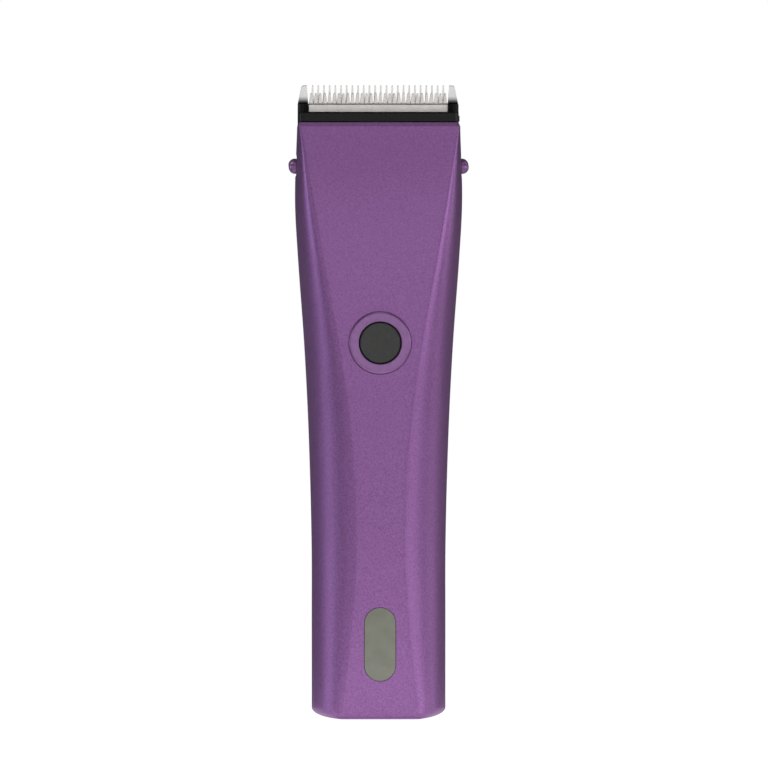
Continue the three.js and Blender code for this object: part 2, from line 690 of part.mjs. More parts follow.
// ---- Assembly ----------------------------------------------------------------

const clipper = new THREE.Group();

const bladeFrame = new THREE.Group();
bladeFrame.position.set(0, BLADE_TIP.y, BLADE_TIP.z);
bladeFrame.rotation.x = BLADE_LEAN;

function addCasing() {
  clipper.add(
    piece('front_shell', frontShell(), 'purple'),
    piece('rear_shell', rearShell(), 'purple'),
    piece('base_plate', basePlate(), 'purple'),
    piece('charge_window', chargeWindow(), 'window'),
    piece('button_ring', buttonRing(), 'ring'),
    piece('head_frame', headFrame(), 'blackMatte'),
    piece('chassis', chassis(), 'nylon'),
  );
  bladeFrame.add(piece('hair_seal', hairSeal(), 'foam'));
  caseScrewPlaces().forEach(([x, z], i) => {
    const headHeight = 1.6;
    const form = crossRecess(screw(2.7, 1.1, headHeight, CASE_SCREWS.length), headHeight, 1.6);
    const fastener = piece(`case_screw_${i + 1}`, form, 'zinc');
    fastener.rotation.x = -Math.PI / 2;
    fastener.position.set(x, CASE_SCREWS.seat, z);
    clipper.add(fastener);
  });
}

function addMotor() {
  clipper.add(
    piece('motor_can', motorCan(), 'zinc'),
    piece('motor_end_cap', motorEndCap(), 'nylon'),
    piece('magnet_left', magnet(-1), 'magnet'),
    piece('magnet_right', magnet(1), 'magnet'),
    piece('motor_bush', sleeve(ROTOR.bore, 2.3, 142.6, 144.1, 'z', [0, MOTOR.y], 20), 'brass'),
    piece('motor_bracket', motorBracket(), 'zinc'),
    piece('motor_shaft', rod(SHAFT.radius, SHAFT.bottom, SHAFT.top, 'z', [0, MOTOR.y], 16), 'steel'),
    piece('armature', armature(), 'copper'),
    piece('eccentric', eccentric(), 'nylon'),
  );
  [-1, 1].forEach((side) => {
    const name = side < 0 ? 'left' : 'right';
    const fastener = piece(`motor_screw_${name}`, screw(1.9, 0.85, 1.0, 1.9), 'zinc');
    fastener.position.set(side * MOTOR.screwX, MOTOR.y, BRACKET.top + GAP);
    const terminal = wideBox(0.9, -3.2, -2.6, 109.4, 113.4).translate(side * MOTOR.terminalX, 0, 0);
    clipper.add(fastener, piece(`motor_terminal_${name}`, terminal, 'brass'));
  });
  const lead = (side) => wire(LEAD_ROUTE.map(([x, y, z]) => [side * x, y, z]));
  clipper.add(
    piece('motor_lead_red', lead(1), 'redWire'),
    piece('motor_lead_black', lead(-1), 'blackWire'),
  );
}

function addElectronics() {
  const { front, thickness, halfWidth, bottom, top } = BOARD;
  const cellTop = BATTERY.bottom + BATTERY.length;
  const cell = rod(BATTERY.radius, BATTERY.bottom, cellTop, 'z', [0, BATTERY.y], 32);
  const tabAt = (z) => wideBox(3, -2, 5, z, z + 0.4);
  clipper.add(
    piece('battery_cell', cell, 'cell'),
    piece('battery_tab_bottom', tabAt(BATTERY.bottom - 0.7), 'zinc'),
    piece('battery_tab_top', tabAt(cellTop + GAP), 'zinc'),
    piece('circuit_board', wideBox(halfWidth, front, front + thickness, bottom, top), 'board'),
    piece('control_chip', wideBox(3.2, front - 1.5, front - GAP, 66, 72), 'blackMatte'),
    piece('capacitor', rod(1.8, 84, 92, 'z', [0, front - GAP - 1.8], 20), 'blackGloss'),
    piece('light_guide', frontProfile(capsuleOutline(3.4, 9.2, WINDOW.z), -12.8, -11.7), 'clear'),
    piece('tact_switch', tactSwitch(), 'blackMatte'),
    piece('power_button', powerButton(), 'blackMatte'),
    piece('switch_plunger', rod(1.4, -12.6, -11.6, 'y', [0, BUTTON_Z], 16), 'nylon'),
  );
  [14.5, 21, 27.5].forEach((z, i) => {
    clipper.add(piece(`charge_led_${i + 1}`, wideBox(1.0, -11.4, front - GAP, z - 0.8, z + 0.8), 'clear'));
  });
}

function addInlet() {
  const { halfX, halfY, wall, top, y } = INLET;
  const body = box(-halfX - wall, halfX + wall, y - halfY - wall, y + halfY + wall, 0, top);
  const recess = box(-halfX, halfX, y - halfY, y + halfY, -1, top - wall);
  const pinHoles = [-1, 1].map((side) => rod(1.0, 0, 20, 'z', [side * 2, y], 12));
  clipper.add(piece('charge_inlet', cut(body, recess, ...pinHoles), 'blackMatte'));
  [-1, 1].forEach((side) => {
    const name = side < 0 ? 'left' : 'right';
    clipper.add(piece(`inlet_pin_${name}`, rod(0.7, 5.4, 10.6, 'z', [side * 2, y], 12), 'brass'));
  });
}

function addBladeSet() {
  bladeFrame.add(
    piece('comb_blade', combBlade(), 'steel'),
    piece('blade_carrier', bladeCarrier(), 'blackGloss'),
    piece('cutter_blade', cutterBlade(), 'cutterSteel'),
    piece('drive_yoke', driveYoke(), 'nylon'),
    piece('cutter_slider', cutterSlider(), 'blackMatte'),
    piece('blade_spring_left', bladeSpring(-1), 'steel'),
    piece('blade_spring_right', bladeSpring(1), 'steel'),
  );
  [-1, 1].forEach((side) => {
    const name = side < 0 ? 'left' : 'right';
    const { head: radius, shank } = COMB_SCREWS;
    const profile = [[0, -3.6], [shank, -3.6], [shank, -1.3], [radius, -0.15], [0, -0.15]];
    const head = turned(profile, 'y', [0, 0], 16);
    const slotted = cut(head, box(-3, 3, -0.75, 1, -0.3, 0.3));
    const fastener = piece(`comb_screw_${name}`, slotted, 'steel');
    fastener.position.set(side * COMB_SCREWS.x, 0, COMB_SCREWS.z);
    bladeFrame.add(fastener);
  });
}

function addAdjuster() {
  bladeFrame.add(
    piece('adjuster_bail', adjusterBail(), 'nylon'),
    piece('adjuster_knob_left', adjusterKnob(-1), 'ring'),
    piece('adjuster_knob_right', adjusterKnob(1), 'ring'),
    piece('detent_spring', join(
      wideBox(7, -17.1, -16.7, -26, -17),
      wideBox(1.2, -17.0, -16.5, -21.6, -20.6),
    ), 'steel'),
  );
  clipper.add(piece('blade_latch', wideBox(4.6, -5.5, -4.9, 160.5, 167), 'steel'));
}

addCasing();
addMotor();
addElectronics();
addInlet();
addBladeSet();
addAdjuster();
clipper.add(bladeFrame);

export default clipper;
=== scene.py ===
import json
import math

import bmesh
import bpy
from mathutils import Matrix, Vector


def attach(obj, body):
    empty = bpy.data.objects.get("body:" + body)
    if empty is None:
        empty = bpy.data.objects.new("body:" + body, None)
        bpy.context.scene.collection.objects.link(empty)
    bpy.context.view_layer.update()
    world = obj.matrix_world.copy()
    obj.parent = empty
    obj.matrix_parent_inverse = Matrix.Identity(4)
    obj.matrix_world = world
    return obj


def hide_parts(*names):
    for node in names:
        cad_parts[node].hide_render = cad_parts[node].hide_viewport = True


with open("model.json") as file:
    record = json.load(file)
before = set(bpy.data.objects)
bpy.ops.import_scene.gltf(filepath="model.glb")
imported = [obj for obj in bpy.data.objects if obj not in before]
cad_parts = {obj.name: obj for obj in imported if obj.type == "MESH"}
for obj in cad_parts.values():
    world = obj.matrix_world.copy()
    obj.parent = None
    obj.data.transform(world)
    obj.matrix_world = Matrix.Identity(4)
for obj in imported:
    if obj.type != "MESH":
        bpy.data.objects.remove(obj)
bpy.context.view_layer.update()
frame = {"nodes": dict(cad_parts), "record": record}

# Cordless electric pet clipper on its tail: fine skins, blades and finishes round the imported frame.
# Lengths are millimetres until solid() turns them into metres; lamps are placed in metres.

MM = 0.001

# ---- Driving dimensions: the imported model's, with finer edges -------------------

FAR = 40  # half width of the cutting blocks, past every side of the casing
BELOW, ABOVE = -5, 200  # heights past both ends of the casing
OPEN_TOP = 172  # top of the hollow, past the casing's top
AHEAD, BEHIND_WALL = -25, -5  # in front of the casing, and behind its front wall
WALL = 2.0
SEAM_Y = 1.0  # plane between the casing halves
SEAM_HALF = 0.08  # half of the visible seam
TONGUE_INSET, TONGUE_REACH = 1.0, 0.7  # the rear half's tongue behind the seam, in from the outside
CASING_TOP = 167.4
BEVEL_BOTTOM = 166.3
TAIL_WIDTH, TAIL_DEPTH, TAIL_HEIGHT = 8.3, 1.6, 3.2
BASE_TOP = 0.55  # seam between the base plate and the shells
FOOT_TOP, FOOT_DEPTH = 1.6, 0.65  # bevel round the shells' lower edge

# Casing stations: height, half width, half width of the front facet, front and back surface.
STATIONS = [
    (0, 18.8, 10.8, -14.0, 14.5),
    (26, 18.8, 7.9, -15.4, 16.6),
    (50, 18.85, 6.65, -16.3, 17.8),
    (80, 19.65, 8.15, -16.8, 18.8),
    (105, 20.9, 11.5, -16.6, 18.9),
    (130, 22.7, 16.0, -15.0, 17.0),
    (146, 23.5, 18.8, -12.6, 13.6),
    (166.3, 22.9, 22.1, -8.2, 9.6),
]
HALF_WIDTH, FACET, FRONT, BACK = 1, 2, 3, 4
BEVEL_SIDE, BEVEL_FRONT = 0.5, 1.1  # how far the top bevel leans in
FACET_MARGIN = 0.5  # least width of the side beside the facet
FACET_DOME = 0.3
CREASE_SLOPE = 0.45
CREASE_FILLET = 0.35
SIDE_WEIGHT = 0.75
BACK_WEIGHT = 1.15
FLAT_STEPS, CREASE_STEPS, SIDE_STEPS, BACK_STEPS = 8, 5, 26, 40  # points round half of the outline

BLADE_TIP = Vector((0, 6.9, 178))
BLADE_LEAN = math.radians(12)
COMB_HALF_WIDTH, COMB_LENGTH, COMB_THICKNESS = 22.6, 30, 1.6
COMB_ROW = {"teeth": 24, "pitch": 1.6, "tip": 0, "gullet": -5.8, "tip_half": 0.2, "root_half": 0.42}
CUTTER_ROW = {"teeth": 30, "pitch": 1.3, "tip": -1.85, "gullet": -4.4, "tip_half": 0.3, "root_half": 0.56}
CUTTER_HALF_WIDTH = 19.55
CUTTER_END = -16
POST_TOP = -4.15  # top of the black posts beside the cutter, in the blade frame
ADJUST_BACK, ADJUST_FORWARD = 1.0, 1.3
SEAT_Y, SEAT_END, SEAT_FAR = -5.9, -30.6, 30  # pocket for the blade set, in the blade frame

FRONT_BAR_Y, FRONT_BAR_Z = -6.6, 167.7  # face and foot of the bar in front of the cutter
FRONT_RADIUS = 1.9

BUTTON_Z = 105.5
BUTTON_RADIUS = 5.75
RING_INNER, RING_OUTER = 6.0, 8.75
RING_CROWN = -17.7
WINDOW_Z, WINDOW_HALF_WIDTH, WINDOW_HALF_HEIGHT = 21.05, 4.35, 10.25
INLET_Y, INLET_HALF_X, INLET_HALF_Y = 6.4, 5.7, 4.2
PLUG_TOP = 3.6
KNOB_X, KNOB_RADIUS, KNOB_HALF_LENGTH, KNOB_Z, KNOB_SHANK = 23.5, 1.81, 3.6, 155.2, 1.2
SHANK_FROM, RECESS_FROM = 10, 21.4  # where the knob's two slots start, from the middle
PAD_X = (19.5, 23)  # thick pads of the wall round the knob slots
PAD_RIM = 1.8
HOOK_X = (8.8, 12.2)
HOOK_SLOT_Y, HOOK_SLOT_Z = (-5.2, -1.7), (-34, -29)
CASE_SCREW_X = 14.4
CASE_SCREW_HEIGHTS = (30, 96)
CASE_SCREW_SEAT = 6.3
BOSS_RADIUS, SHANK_BORE, HEAD_BORE = 3.9, 1.9, 3.1
COMB_SCREW_X, COMB_SCREW_Z = 13, -27.4


# ---- Mesh kit --------------------------------------------------------------------


def solid(name, points, faces):
    """A closed mesh object from points in millimetres."""
    mesh = bpy.data.meshes.new(name)
    mesh.from_pydata([[c * MM for c in point] for point in points], [], faces)
    form = bmesh.new()
    form.from_mesh(mesh)
    bmesh.ops.remove_doubles(form, verts=form.verts, dist=1e-7)
    bmesh.ops.dissolve_degenerate(form, edges=form.edges, dist=1e-8)
    bmesh.ops.recalc_face_normals(form, faces=form.faces)
    form.to_mesh(mesh)
    form.free()
    piece = bpy.data.objects.new(name, mesh)
    bpy.context.scene.collection.objects.link(piece)
    return piece


def loft(name, rings):
    """A solid through closed rings of equal length, with flat ends."""
    count = len(rings[0])
    points = [point for ring in rings for point in ring]
    faces = [list(range(count))[::-1], [(len(rings) - 1) * count + i for i in range(count)]]
    for level in range(len(rings) - 1):
        for i in range(count):
            a = level * count + i
            b = level * count + (i + 1) % count
            faces.append([a, b, b + count, a + count])
    return solid(name, points, faces)


def side_prism(name, outline, x0, x1):
    """An outline of (y, z), extruded along X."""
    return loft(name, [[(x, y, z) for y, z in outline] for x in (x0, x1)])


def front_prism(name, outline, y0, y1):
    """An outline of (x, z), extruded along Y."""
    return loft(name, [[(x, y, z) for x, z in outline] for y in (y0, y1)])


def plan_prism(name, outline, z0, z1):
    """An outline of (x, y), extruded along Z."""
    return loft(name, [[(x, y, z) for x, y in outline] for z in (z0, z1)])


def block(x0, x1, y0, y1, z0, z1):
    return plan_prism("block", [(x0, y0), (x1, y0), (x1, y1), (x0, y1)], z0, z1)


def both_sides(x0, x1, y0, y1, z0, z1):
    return [block(-x1, -x0, y0, y1, z0, z1), block(x0, x1, y0, y1, z0, z1)]


def lathe(name, profile, segments, axis, place):
    """A profile of (radius, height) turned about Y or Z through a place of two coordinates."""
    rings = []
    for radius, height in profile:
        turn = [2 * math.pi * i / segments for i in range(segments)]
        circle = [(radius * math.cos(t), radius * math.sin(t)) for t in turn]
        if axis == "Y":
            rings.append([(place[0] + a, height, place[1] + b) for a, b in circle])
        else:
            rings.append([(place[0] + a, place[1] + b, height) for a, b in circle])
    points = [point for ring in rings for point in ring]
    faces = []
    for level in range(len(rings) - 1):
        for i in range(segments):
            a = level * segments + i
            b = level * segments + (i + 1) % segments
            faces.append([a, b, b + segments, a + segments])
    return solid(name, points, faces)


def rod(radius, low, high, axis, place, segments=48):
    return lathe("rod", [(0, low), (radius, low), (radius, high), (0, high)], segments, axis, place)


def bake(piece):
    """The piece's modifiers, made part of its mesh."""
    bpy.context.view_layer.update()
    graph = bpy.context.evaluated_depsgraph_get()
    mesh = bpy.data.meshes.new_from_object(piece.evaluated_get(graph))
    piece.modifiers.clear()
    piece.data = mesh
    return piece


def combine(piece, others, operation):
    for other in others:
        step = piece.modifiers.new("step", "BOOLEAN")
        step.operation = operation
        step.solver = "MANIFOLD"
        step.object = other
    bake(piece)
    for other in others:
        bpy.data.objects.remove(other)
    return piece


def cut(piece, *others):
    return combine(piece, others, "DIFFERENCE")


def join(piece, *others):
    return combine(piece, others, "UNION")


def common(piece, *others):
    return combine(piece, others, "INTERSECT")


def smooth(piece, angle=32):
    piece.data.shade_smooth()
    piece.data.set_sharp_from_angle(angle=math.radians(angle))
    return piece


def round_edges(piece, width, segments=3, angle=40):
    """Rounds the sharp edges of a flat-sided piece, after its coplanar triangles are joined."""
    flat = piece.modifiers.new("join_flat_faces", "DECIMATE")
    flat.decimate_type = "DISSOLVE"
    flat.angle_limit = math.radians(1.0)
    edge = piece.modifiers.new("round_edges", "BEVEL")
    edge.width = width * MM
    edge.segments = segments
    edge.limit_method = "ANGLE"
    edge.angle_limit = math.radians(angle)
    edge.harden_normals = True
    return piece


def arc(centre, radius, start, end, steps):
    """Points of an arc, angles in degrees."""
    turn = [math.radians(start + (end - start) * i / steps) for i in range(steps + 1)]
    return [(centre[0] + radius * math.cos(t), centre[1] + radius * math.sin(t)) for t in turn]


def bezier(start, corner, end, weight, steps):
    """Points of a rational quadratic curve; the first point is left out."""
    points = []
    for i in range(1, steps + 1):
        t = i / steps
        a, b, c = (1 - t) ** 2, 2 * weight * t * (1 - t), t * t
        points.append(tuple((a * start[k] + b * corner[k] + c * end[k]) / (a + b + c) for k in (0, 1)))
    return points


# ---- Casing surface ----------------------------------------------------------------


def station(key, z):
    """Smooth curve through the stations, with slopes taken from the neighbours."""
    last = len(STATIONS) - 1
    index = min(max(sum(s[0] < z for s in STATIONS), 1), last)

    def slope(i):
        before, after = STATIONS[max(i - 1, 0)], STATIONS[min(i + 1, last)]
        return (after[key] - before[key]) / (after[0] - before[0])

    low, high = STATIONS[index - 1], STATIONS[index]
    span = high[0] - low[0]
    t = min(max((z - low[0]) / span, 0), 1)
    ends = low[key] * (1 + 2 * t) * (1 - t) ** 2 + high[key] * t * t * (3 - 2 * t)
    slopes = slope(index - 1) * t * (1 - t) ** 2 - slope(index) * t * t * (1 - t)
    return ends + span * slopes


def casing_ring(z, inset=0.0, fine=1.0):
    """The casing's outline at a height as a closed ring of (x, y, z), moved inward by inset."""
    below = min(max(1 - z / TAIL_HEIGHT, 0), 1)
    tail = 1 - math.sqrt(1 - below * below)
    bevel = max((z - BEVEL_BOTTOM) / (CASING_TOP - BEVEL_BOTTOM), 0)
    foot = min(max((FOOT_TOP - z) / (FOOT_TOP - BASE_TOP), 0), 1)
    sole = min(max(1 - z / BASE_TOP, 0), 1)
    depth = FOOT_DEPTH * foot + (TAIL_DEPTH - FOOT_DEPTH) * sole
    half_width = station(HALF_WIDTH, z) - TAIL_WIDTH * tail - BEVEL_SIDE * bevel
    facet = min(station(FACET, z), half_width - FACET_MARGIN)
    front = station(FRONT, z) + depth + BEVEL_FRONT * bevel
    back = station(BACK, z) - depth
    corner = (half_width, front + (half_width - facet) * CREASE_SLOPE)
    edge = facet - CREASE_FILLET

    def facet_y(x):
        return front - FACET_DOME * (1 - (x / facet) ** 2)

    flat = [(edge * i / FLAT_STEPS, facet_y(edge * i / FLAT_STEPS)) for i in range(FLAT_STEPS + 1)]
    leave = (facet + CREASE_FILLET, front + CREASE_FILLET * CREASE_SLOPE)
    half = flat + bezier(flat[-1], (facet, front), leave, 1.0, CREASE_STEPS)
    half += bezier(leave, corner, (half_width, SEAM_Y), SIDE_WEIGHT, round(SIDE_STEPS * fine))
    turn = (half_width, back)
    half += bezier((half_width, SEAM_Y), turn, (0, back), BACK_WEIGHT, round(BACK_STEPS * fine))
    ring = half + [(-x, y) for x, y in half[-2:0:-1]]
    if inset == 0:
        return [(x, y, z) for x, y in ring]
    moved = []
    for i, (x, y) in enumerate(ring):
        before, after = ring[i - 1], ring[(i + 1) % len(ring)]
        along = Vector((after[0] - before[0], after[1] - before[1])).normalized()
        moved.append((x - inset * along.y, y + inset * along.x, z))
    return moved


def casing_heights():
    """Close together round the tail's edge and even above it."""
    tail_steps, main_steps = 14, 104
    quarter = [math.pi / 2 * i / tail_steps for i in range(tail_steps)]
    tail = sorted([TAIL_HEIGHT * (1 - math.cos(t)) for t in quarter] + [BASE_TOP, FOOT_TOP])
    rise = BEVEL_BOTTOM - TAIL_HEIGHT
    main = [TAIL_HEIGHT + rise * i / main_steps for i in range(main_steps + 1)]
    return tail + main + [CASING_TOP]


def outer_casing(name="outer_casing"):
    return loft(name, [casing_ring(z) for z in casing_heights()])


def cavity(inset, low, high):
    """The space inside the casing, a given distance in from its outside."""
    steps = max(round((high - low) / 3), 1)
    rings = []
    for i in range(steps + 1):
        z = low + (high - low) * i / steps
        ring = casing_ring(min(max(z, TAIL_HEIGHT), BEVEL_BOTTOM), inset, 0.5)
        rings.append([(x, y, z) for x, y, _ in ring])
    return loft("cavity", rings)


def capsule(half_width, half_height, centre, steps=24):
    """A capsule outline in (x, z): two half circles joined by straight sides."""
    straight = half_height - half_width
    top = arc((0, centre + straight), half_width, 0, 180, steps)
    return top + arc((0, centre - straight), half_width, 180, 360, steps)


# ---- Blade frame ---------------------------------------------------------------------

blade_matrix = Matrix.Translation(BLADE_TIP) @ Matrix.Rotation(BLADE_LEAN, 4, "X")
blade_metres = Matrix.Translation(BLADE_TIP * MM) @ Matrix.Rotation(BLADE_LEAN, 4, "X")


def in_casing(piece):
    """A piece made in the blade frame, put in its place on the casing."""
    piece.data.transform(blade_metres)
    return piece


def in_blade(piece):
    """A piece made in the casing's frame, as the blade frame sees it."""
    piece.data.transform(blade_metres.inverted())
    return piece


knob_in_blade = blade_matrix.inverted() @ Vector((0, SEAM_Y, KNOB_Z))


def around_knob(x0, x1, half_y, half_z):
    """Boxes on both sides round the knob's path, as large as half a size of y and z."""
    _, y, z = knob_in_blade
    low, high = z - half_z - ADJUST_BACK, z + half_z + ADJUST_FORWARD
    return [in_casing(piece) for piece in both_sides(x0, x1, y - half_y, y + half_y, low, high)]


def knob_slot(side, x0, x1, half_y, half_z):
    """A round-ended slot across the casing wall, for the knob's shank or its recess."""
    _, y, z = knob_in_blade
    radius = min(half_y, half_z)
    rise, spread = (half_z - radius), (half_y - radius)
    corners = [
        (y + spread, z + rise + ADJUST_FORWARD, 0),
        (y - spread, z + rise + ADJUST_FORWARD, 90),
        (y - spread, z - rise - ADJUST_BACK, 180),
        (y + spread, z - rise - ADJUST_BACK, 270),
    ]
    outline = [p for cy, cz, turn in corners for p in arc((cy, cz), radius, turn, turn + 90, 8)]
    low, high = sorted((side * x0, side * x1))
    return in_casing(side_prism("knob_slot", outline, low, high))


def knob_slots():
    gap = 0.3
    shank, reach, height = KNOB_SHANK + gap, KNOB_HALF_LENGTH + gap, KNOB_RADIUS + gap
    slots = []
    for side in (-1, 1):
        slots.append(knob_slot(side, SHANK_FROM, FAR, shank, shank))
        slots.append(knob_slot(side, RECESS_FROM, FAR, reach, height))
    return slots


def head_pocket():
    return in_casing(block(-FAR, FAR, SEAT_Y, SEAT_FAR, SEAT_END, SEAT_FAR))


def hook_slots():
    gap = 0.3
    slots = both_sides(HOOK_X[0] - gap, HOOK_X[1] + gap, *HOOK_SLOT_Y, *HOOK_SLOT_Z)
    return [in_casing(slot) for slot in slots]


# ---- Casing skins ----------------------------------------------------------------------


def casing_half(name, low, high, extras, cutters):
    """The casing's wall between two Y planes, with pads at the knobs, extras added and cutters cut."""
    foot = block(-FAR, FAR, -FAR, FAR, BELOW, BASE_TOP + SEAM_HALF)
    walls = cut(outer_casing(name), cavity(WALL, BELOW, OPEN_TOP), foot)
    pads = around_knob(*PAD_X, KNOB_HALF_LENGTH + PAD_RIM, KNOB_RADIUS + PAD_RIM)
    inside = [common(pad, outer_casing()) for pad in pads + list(extras)]
    join(walls, *inside)
    common(walls, block(-FAR, FAR, low, high, BELOW, ABOVE))
    return cut(walls, head_pocket(), *knob_slots(), *cutters)


def inside_seam(inset, reach, top):
    """The part of the inside that reaches in front of the seam, for the tongue and its groove."""
    overlap = 0.5
    slab = block(-FAR, FAR, SEAM_Y - reach, SEAM_Y + overlap, BELOW, ABOVE)
    return common(cavity(inset, PLUG_TOP, top), slab)


def screw_places():
    return [(side * CASE_SCREW_X, z) for z in CASE_SCREW_HEIGHTS for side in (-1, 1)]


def front_skin():
    window_gap, ring_gap = 0.15, 0.12
    outline = capsule(WINDOW_HALF_WIDTH + window_gap, WINDOW_HALF_HEIGHT + window_gap, WINDOW_Z)
    window = front_prism("window_hole", outline, AHEAD, BEHIND_WALL)
    hole = rod(RING_OUTER + ring_gap, AHEAD, -12, "Y", (0, BUTTON_Z), 128)
    groove = inside_seam(TONGUE_INSET - SEAM_HALF, TONGUE_REACH + 2 * SEAM_HALF, OPEN_TOP)
    return casing_half("front_shell_skin", -FAR, SEAM_Y - SEAM_HALF, [], [window, hole, groove])


def rear_skin():
    head_floor = 6
    bosses = [rod(BOSS_RADIUS, SEAM_Y, 25, "Y", place) for place in screw_places()]
    bores = [rod(SHANK_BORE, BELOW, 30, "Y", place, 32) for place in screw_places()]
    bores += [rod(HEAD_BORE, head_floor, 30, "Y", place) for place in screw_places()]
    shell = casing_half("rear_shell_skin", SEAM_Y + SEAM_HALF, FAR, bosses, bores + hook_slots())
    tongue = inside_seam(TONGUE_INSET, TONGUE_REACH, CASING_TOP - 0.3)
    cut(tongue, cavity(WALL, 3, OPEN_TOP), head_pocket(), *knob_slots())
    return join(shell, tongue)


def base_skin():
    """Domed end plate with a plug inside the tail and an opening for the charging inlet."""
    plug_gap, inlet_gap = 0.3, 0.25
    plate = common(outer_casing("base_plate_skin"), block(-FAR, FAR, -FAR, FAR, BELOW, BASE_TOP))
    join(plate, common(cavity(WALL + plug_gap, BASE_TOP - 0.2, PLUG_TOP), outer_casing()))
    x, y = INLET_HALF_X + inlet_gap, INLET_HALF_Y + inlet_gap
    return cut(plate, block(-x, x, INLET_Y - y, INLET_Y + y, BELOW, 20))


def window_skin():
    """Smoked lens flush with the casing, with a rounded rim."""
    outline = capsule(WINDOW_HALF_WIDTH, WINDOW_HALF_HEIGHT, WINDOW_Z, 40)
    lens = front_prism("charge_window_lens", outline, AHEAD, BEHIND_WALL)
    skin = cut(outer_casing(), cavity(WALL - 0.1, BELOW, 60))
    common(lens, skin)
    rim = lens.modifiers.new("rim", "BEVEL")
    rim.width = 0.18 * MM
    rim.segments = 3
    rim.limit_method = "ANGLE"
    rim.angle_limit = math.radians(60)
    return lens


# ---- Button, ring and knobs ---------------------------------------------------------------


def ring_trim():
    """Raised ring with a rounded outer edge and a flange behind the casing wall."""
    edge, lip = 0.75, 0.3
    flange, flange_back, flange_front = RING_OUTER + 1.2, -13.8, -14.3
    outer = arc((RING_OUTER - edge, RING_CROWN + edge), edge, 0, -90, 10)
    inner = arc((RING_INNER + lip, RING_CROWN + lip), lip, -90, -180, 6)
    profile = [(RING_INNER, flange_back), (flange, flange_back), (flange, flange_front)]
    profile += [(RING_OUTER, flange_front)] + outer + inner + [(RING_INNER, flange_back)]
    return smooth(lathe("button_ring_trim", profile, 160, "Y", (0, BUTTON_Z)))


def button_cap():
    """Round button with a soft edge and a shallow dished face."""
    face, edge, dish = -17.3, 0.45, 0.25
    flange, flange_back, flange_front = 6.9, -12.9, -13.5
    rim = BUTTON_RADIUS - edge
    profile = [(0, flange_back), (flange, flange_back), (flange, flange_front)]
    profile += [(BUTTON_RADIUS, flange_front)]
    profile += arc((rim, face + edge), edge, 0, -90, 8)
    profile += [(rim * t, face + dish * (1 - t * t)) for t in (0.85, 0.7, 0.55, 0.4, 0.2, 0)]
    return smooth(lathe("power_button_cap", profile, 128, "Y", (0, BUTTON_Z)))


def knob_bar(name, side):
    """Bar with ball ends, on a round shank through the casing wall."""
    straight = KNOB_HALF_LENGTH - KNOB_RADIUS
    low = arc((0, -straight), KNOB_RADIUS, -90, 0, 14)
    high = arc((0, straight), KNOB_RADIUS, 0, 90, 14)
    bar = lathe(name, [(max(r, 0), h) for r, h in low + high], 64, "Y", (side * KNOB_X, 0))
    inner = 19.2
    ends = sorted((side * inner, side * KNOB_X))
    outline = arc((0, 0), KNOB_SHANK, 0, 360, 32)[:-1]
    join(bar, side_prism("shank", outline, *ends))
    bar.data.transform(Matrix.Translation(Vector((0, knob_in_blade.y, knob_in_blade.z)) * MM))
    return smooth(in_casing(bar))


# ---- Blades ---------------------------------------------------------------------------------


def tooth_row(row):
    """Outline of a row of teeth in (x, z), right to left, with round tips and round gullets."""
    points = []
    tip_centre = row["tip"] - row["tip_half"]
    half_gap = row["pitch"] / 2 - row["root_half"]
    for i in range(row["teeth"]):
        centre = ((row["teeth"] - 1) / 2 - i) * row["pitch"]
        if i > 0:
            middle = centre + row["pitch"] / 2
            points += arc((middle, row["gullet"]), half_gap, 0, -180, 8)
        else:
            points.append((centre + row["root_half"], row["gullet"]))
        points += arc((centre, tip_centre), row["tip_half"], 0, 180, 8)
    points.append((-(row["teeth"] - 1) / 2 * row["pitch"] - row["root_half"], row["gullet"]))
    return points


def comb_plate():
    """Lower blade: plate with long fine teeth, two wide end teeth and screw holes."""
    half, foot = COMB_HALF_WIDTH, COMB_ROW["gullet"]
    shoulder = arc((half - 1.7, -0.7), 0.7, 20, 90, 6)
    inner_tip, inner_foot = 20.05, 19.6
    end = [(half, -COMB_LENGTH), (half, -5.3)] + shoulder + [(inner_tip, 0), (inner_foot, foot)]
    outline = end + tooth_row(COMB_ROW) + [(-x, z) for x, z in end[::-1]]
    plate = front_prism("comb_blade_plate", outline, -COMB_THICKNESS, 0)
    thin = [(-COMB_THICKNESS, -9), (-0.7, 0.5), (-4, 0.5), (-4, -9)]
    cut(plate, side_prism("tooth_bevel", thin, -FAR, FAR))
    for side in (-1, 1):
        profile = [(0, -4), (1.4, -4), (1.4, -1.1), (2.5, 0), (2.5, 2), (0, 2)]
        cut(plate, lathe("screw_hole", profile, 48, "Y", (side * COMB_SCREW_X, COMB_SCREW_Z)))
    return smooth(round_edges(in_casing(plate), 0.1, 2), 25)


def cutter_plate():
    """Upper blade: raised bevelled band with a shadow line above it and short arched teeth."""
    back, band, body = -1.9, -3.58, -3.3
    tip, gullet = CUTTER_ROW["tip"], CUTTER_ROW["gullet"]
    section = [
        (back, CUTTER_END),
        (back, tip + 0.5),
        (back - 0.45, tip + 0.5),
        (-3.05, gullet - 0.22),
        (-2.75, gullet - 0.3),
        (-2.75, gullet - 0.55),
        (band + 0.6, gullet - 0.62),
        (band + 0.36, gullet - 0.85),
        (band, -7.15),
        (band + 0.25, -7.42),
        (body, -7.5),
        (body, CUTTER_END),
    ]
    plate = side_prism("cutter_blade_plate", section, -CUTTER_HALF_WIDTH, CUTTER_HALF_WIDTH)
    half = CUTTER_HALF_WIDTH
    row = tooth_row(CUTTER_ROW)
    end = [(half, CUTTER_END), (half, gullet)]
    outline = end + row + [(-x, z) for x, z in end[::-1]]
    common(plate, front_prism("tooth_outline", outline, -8, 0))
    return smooth(round_edges(in_casing(plate), 0.1, 2), 25)


